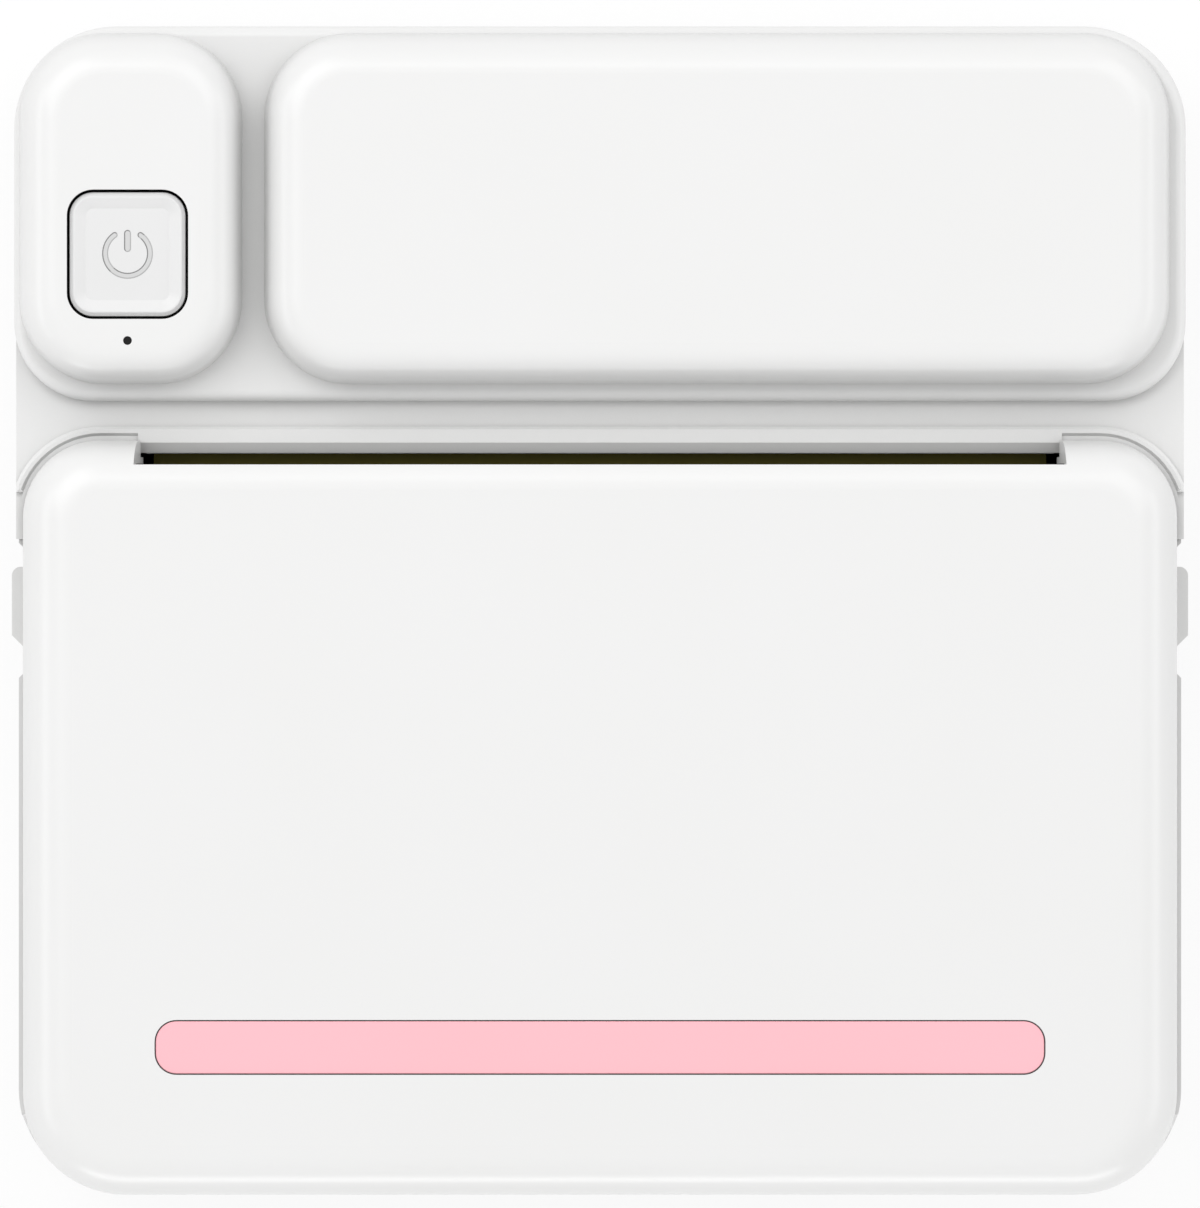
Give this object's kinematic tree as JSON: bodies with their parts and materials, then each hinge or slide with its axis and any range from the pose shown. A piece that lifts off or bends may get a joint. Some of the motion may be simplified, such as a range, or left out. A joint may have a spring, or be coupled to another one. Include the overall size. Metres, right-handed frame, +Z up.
{
  "type": "portable thermal printer",
  "caption": "Pocket thermal printer with a hinged cover, paper slot, push button in a small pod and a long inlaid accent strip.",
  "frame": {"origin": "centre of the body's outline on the surface it stands on", "axes": "+Z up, +Y towards the end with the power button, +X to the right when seen from above with the button at the top left"},
  "size_m": [0.0808, 0.08, 0.04],
  "materials": {
    "white_shell": "glossy moulded ABS",
    "inner_moulding": "light grey moulded ABS",
    "black_moulding": "black moulded polycarbonate",
    "acetal_gear": "natural acetal",
    "ground_steel": "ground steel",
    "plated_screw": "zinc plated steel",
    "roller_rubber": "ground silicone rubber",
    "foot_rubber": "translucent grey silicone",
    "head_glaze": "glazed ceramic with dark olive coating",
    "spreader_aluminium": "pressed aluminium",
    "spring_steel": "rolled spring steel",
    "board_laminate": "green solder mask on laminate",
    "shield_tin": "tinned steel",
    "battery_foil": "embossed laminate foil",
    "accent_pink": "pink moulded acrylic",
    "clear_acrylic": "smoked acrylic",
    "button_cap": "satin moulded ABS",
    "seal_rubber": "black silicone",
    "plug_nylon": "natural nylon",
    "lead_jacket": "red vinyl"
  },
  "bodies": {
    "base": {"bottom_case": "white_shell", "upper_case": "white_shell", "paper_bin": "white_shell", "mechanism_frame": "black_moulding", "gear_axles": "ground_steel", "motor_body": "shield_tin", "main_board": "board_laminate", "board_chips": "black_moulding", "board_plugs": "plug_nylon", "battery_leads": "lead_jacket", "radio_module": "shield_tin", "charging_socket": "shield_tin", "power_switch": "black_moulding", "indicator_lamp": "clear_acrylic", "light_pipe": "clear_acrylic", "battery_pack": "battery_foil", "hinge_pins": "ground_steel", "head_spring": "spring_steel", "case_screws": "plated_screw", "frame_screws": "plated_screw", "board_screws": "plated_screw", "rubber_feet": "foot_rubber"},
    "lid": {"lid_shell": "white_shell", "accent_strip": "accent_pink", "platen_holder": "inner_moulding", "platen_bushes": "acetal_gear", "holder_screws": "plated_screw"},
    "platen": {"platen_shaft": "ground_steel", "platen_rubber": "roller_rubber", "platen_gear": "acetal_gear"},
    "idler": {"idler_gear": "acetal_gear"},
    "compound": {"compound_gear": "acetal_gear"},
    "pinion": {"motor_pinion": "acetal_gear"},
    "head": {"print_head": "head_glaze", "head_spreader": "spreader_aluminium"},
    "button": {"power_button": "button_cap", "button_seal": "seal_rubber", "switch_plunger": "black_moulding"}
  },
  "joints": [
    {"name": "lid_hinge", "type": "hinge", "parent": "base", "child": "lid", "pos_m": [0, -0.0375, 0.024], "axis": [1, 0, 0], "range_deg": [0, 90]},
    {"name": "platen_spin", "type": "hinge", "parent": "lid", "child": "platen", "pos_m": [0, 0.0056, 0.03101], "axis": [1, 0, 0], "continuous": true},
    {"name": "idler_spin", "type": "hinge", "parent": "base", "child": "idler", "pos_m": [0, 0.0072, 0.02063], "axis": [1, 0, 0], "continuous": true},
    {"name": "compound_spin", "type": "hinge", "parent": "base", "child": "compound", "pos_m": [0, 0.0146, 0.01551], "axis": [1, 0, 0], "continuous": true},
    {"name": "motor_spin", "type": "hinge", "parent": "base", "child": "pinion", "pos_m": [0, 0.02469, 0.0184], "axis": [1, 0, 0], "continuous": true},
    {"name": "head_tip", "type": "hinge", "parent": "base", "child": "head", "pos_m": [0, 0.0115, 0.02021], "axis": [-1, 0, 0], "range_deg": [0, 2], "stiffness_Nm_per_rad": 0.15, "springref_deg": -2.86, "deforming": ["head_spring"]},
    {"name": "button_press", "type": "slide", "parent": "base", "child": "button", "axis": [0, 0, -1], "range_m": [0, 0.0005], "stiffness_N_per_m": 600, "springref_m": -0.0005}
  ],
  "couplings": [
    {"joint": "idler_spin", "follows": "platen_spin", "ratio": -0.75},
    {"joint": "compound_spin", "follows": "platen_spin", "ratio": 1.5},
    {"joint": "motor_spin", "follows": "platen_spin", "ratio": -3.75}
  ]
}
